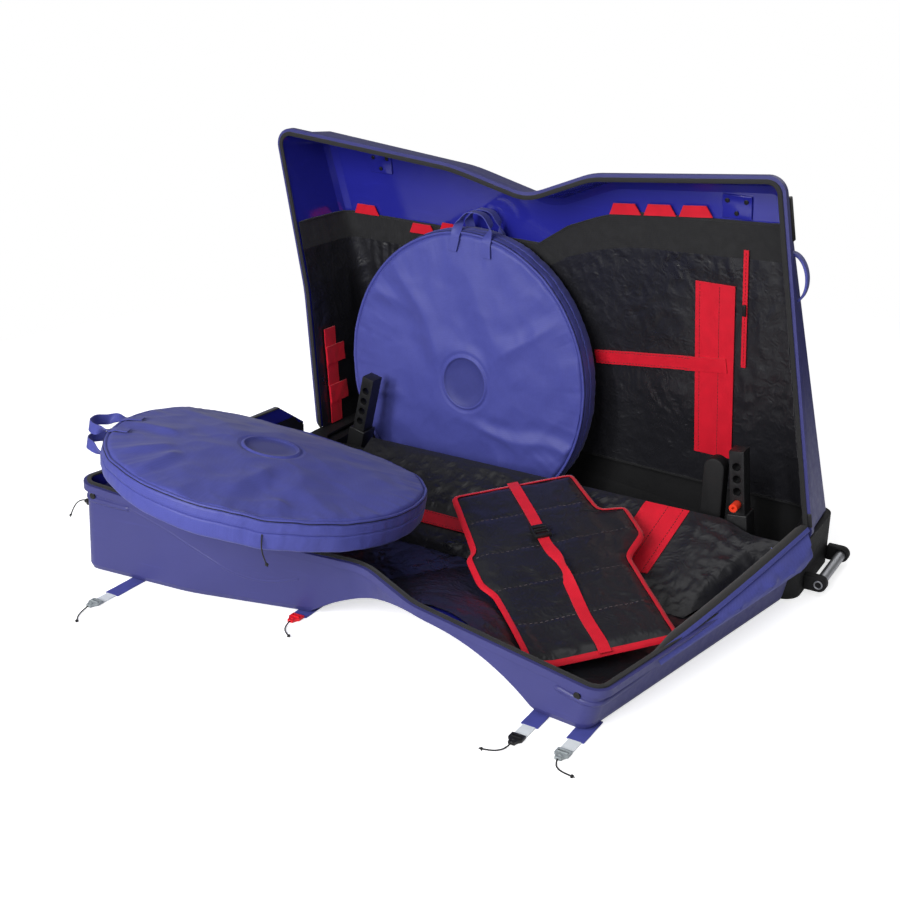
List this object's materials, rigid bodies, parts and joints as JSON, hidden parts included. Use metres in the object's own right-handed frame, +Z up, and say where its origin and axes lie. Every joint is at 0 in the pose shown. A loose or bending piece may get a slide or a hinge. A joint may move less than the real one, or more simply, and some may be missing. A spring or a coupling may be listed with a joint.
{
  "type": "bike travel case",
  "caption": "Open hard-shell bike travel case: upright rear half on a wheeled base, front half folded flat, round wheel bags, frame pad, dropout posts and closing straps.",
  "frame": {"origin": "on the floor under the parting plane, midway along the base's underside", "axes": "+X along the case towards the grab bar, +Y to the back of the rear half, +Z up"},
  "size_m": [1.5834, 1.1964, 0.8712],
  "materials": {
    "shell_purple": "satin gloss",
    "nylon_purple": "coated weave",
    "lining_black": "shiny coated tarpaulin",
    "binding_black": "matte weave",
    "webbing_red": "matte webbing",
    "webbing_white": "matte webbing",
    "base_black": "matte grain",
    "fitting_black": "satin gloss",
    "hook_grey": "satin",
    "hook_red": "satin gloss",
    "pin_red": "satin gloss",
    "tube_aluminium": "satin",
    "tyre_rubber": "matte",
    "axle_steel": "brushed",
    "rivet_black": "satin",
    "cord_black": "braided"
  },
  "bodies": {
    "case": {"rear_shell": "shell_purple", "rear_zip_tape": "binding_black", "rear_liner": "lining_black", "rear_hook_strip": "webbing_red", "rear_belt": "webbing_red", "pocket_zip": "webbing_red", "rear_webbing_loops": "webbing_red", "pump_strap": "webbing_red", "anchor_plates": "shell_purple", "anchor_rivets": "rivet_black", "base_tub": "base_black", "fold_gusset": "nylon_purple", "wheel_forks": "base_black", "wheel_axles": "axle_steel", "wheel_bearings": "axle_steel", "grab_bar": "tube_aluminium", "grab_bar_lugs": "base_black", "post_sleeves": "fitting_black", "chain_keeper_pad": "base_black", "rear_wheel_bag": "nylon_purple", "rear_bag_handles": "nylon_purple", "end_handle": "nylon_purple", "end_buckle": "fitting_black"},
    "front_half": {"front_shell": "shell_purple", "front_zip_tape": "binding_black", "front_liner": "lining_black", "fold_apron": "lining_black", "front_hook_strip": "webbing_red", "front_belt": "webbing_red", "front_wheel_bag": "nylon_purple", "front_bag_handles": "nylon_purple", "bag_zip_cord": "cord_black", "frame_pad": "lining_black", "frame_pad_strap": "webbing_red", "frame_pad_buckle": "fitting_black", "front_corner_rivets": "rivet_black", "strap_tabs": "nylon_purple"},
    "front_wheel": {"front_tyre": "tyre_rubber", "front_wheel_core": "fitting_black"},
    "rear_wheel": {"rear_tyre": "tyre_rubber", "rear_wheel_core": "fitting_black"},
    "left_upright": {"left_post": "fitting_black"},
    "right_upright": {"right_post": "fitting_black"},
    "dropout_pin": {"axle_pin": "pin_red"},
    "pocket_slider": {"pocket_zip_slider": "fitting_black"},
    "parting_slider": {"zip_slider": "fitting_black"},
    "end_strap": {"end_strap_web": "webbing_white", "end_strap_hook": "fitting_black", "end_strap_cord": "cord_black"},
    "corner_strap": {"corner_strap_web": "webbing_white", "corner_strap_hook": "hook_grey", "corner_strap_cord": "cord_black"},
    "waist_strap": {"waist_strap_hook": "hook_red", "waist_strap_cord": "cord_black"},
    "front_strap": {"front_strap_web": "webbing_white", "front_strap_hook": "fitting_black", "front_strap_cord": "cord_black"},
    "edge_strap": {"edge_strap_web": "webbing_white", "edge_strap_hook": "hook_grey", "edge_strap_cord": "cord_black"}
  },
  "joints": [
    {"name": "lid", "type": "hinge", "parent": "case", "child": "front_half", "pos_m": [0, -0.0135, 0.152], "axis": [-0.9977, -0.0476, 0.0488], "range_deg": [0, 91.6], "deforming": ["front_wheel_bag", "front_bag_handles", "bag_zip_cord"]},
    {"name": "front_wheel_roll", "type": "hinge", "parent": "case", "child": "front_wheel", "pos_m": [-0.614, 0.044, 0.04], "axis": [0, 1, 0], "continuous": true},
    {"name": "rear_wheel_roll", "type": "hinge", "parent": "case", "child": "rear_wheel", "pos_m": [-0.614, 0.215, 0.04], "axis": [0, 1, 0], "continuous": true},
    {"name": "left_post_height", "type": "slide", "parent": "case", "child": "left_upright", "axis": [0.2334, 0, 0.9724], "range_m": [0, 0.06]},
    {"name": "right_post_height", "type": "slide", "parent": "case", "child": "right_upright", "axis": [-0.1045, 0, 0.9945], "range_m": [0, 0.06]},
    {"name": "axle_pin_pull", "type": "slide", "parent": "right_upright", "child": "dropout_pin", "axis": [0, -1, 0], "range_m": [0, 0.04]},
    {"name": "pocket_zip_pull", "type": "slide", "parent": "case", "child": "pocket_slider", "axis": [-0.0106, -0.1455, 0.9893], "range_m": [-0.12, 0.12]},
    {"name": "parting_zip_pull", "type": "slide", "parent": "case", "child": "parting_slider", "axis": [-0.1777, 0, 0.9841], "range_m": [0, 0.6]},
    {"name": "end_strap_fold", "type": "hinge", "parent": "front_half", "child": "end_strap", "pos_m": [-0.7904, -0.6, 0.088], "axis": [0, 1, 0], "range_deg": [0, 75]},
    {"name": "corner_strap_fold", "type": "hinge", "parent": "front_half", "child": "corner_strap", "pos_m": [-0.6, -0.7864, 0.0025], "axis": [-1, 0, 0], "range_deg": [0, 75]},
    {"name": "waist_strap_fold", "type": "hinge", "parent": "front_half", "child": "waist_strap", "pos_m": [-0.205, -0.6524, 0.0025], "axis": [-1, 0, 0], "range_deg": [0, 40]},
    {"name": "front_strap_fold", "type": "hinge", "parent": "front_half", "child": "front_strap", "pos_m": [0.385, -0.7544, 0.0025], "axis": [-1, 0, 0], "range_deg": [0, 75]},
    {"name": "edge_strap_fold", "type": "hinge", "parent": "front_half", "child": "edge_strap", "pos_m": [0.474, -0.7524, 0.0025], "axis": [-1, 0, 0], "range_deg": [0, 75]}
  ]
}
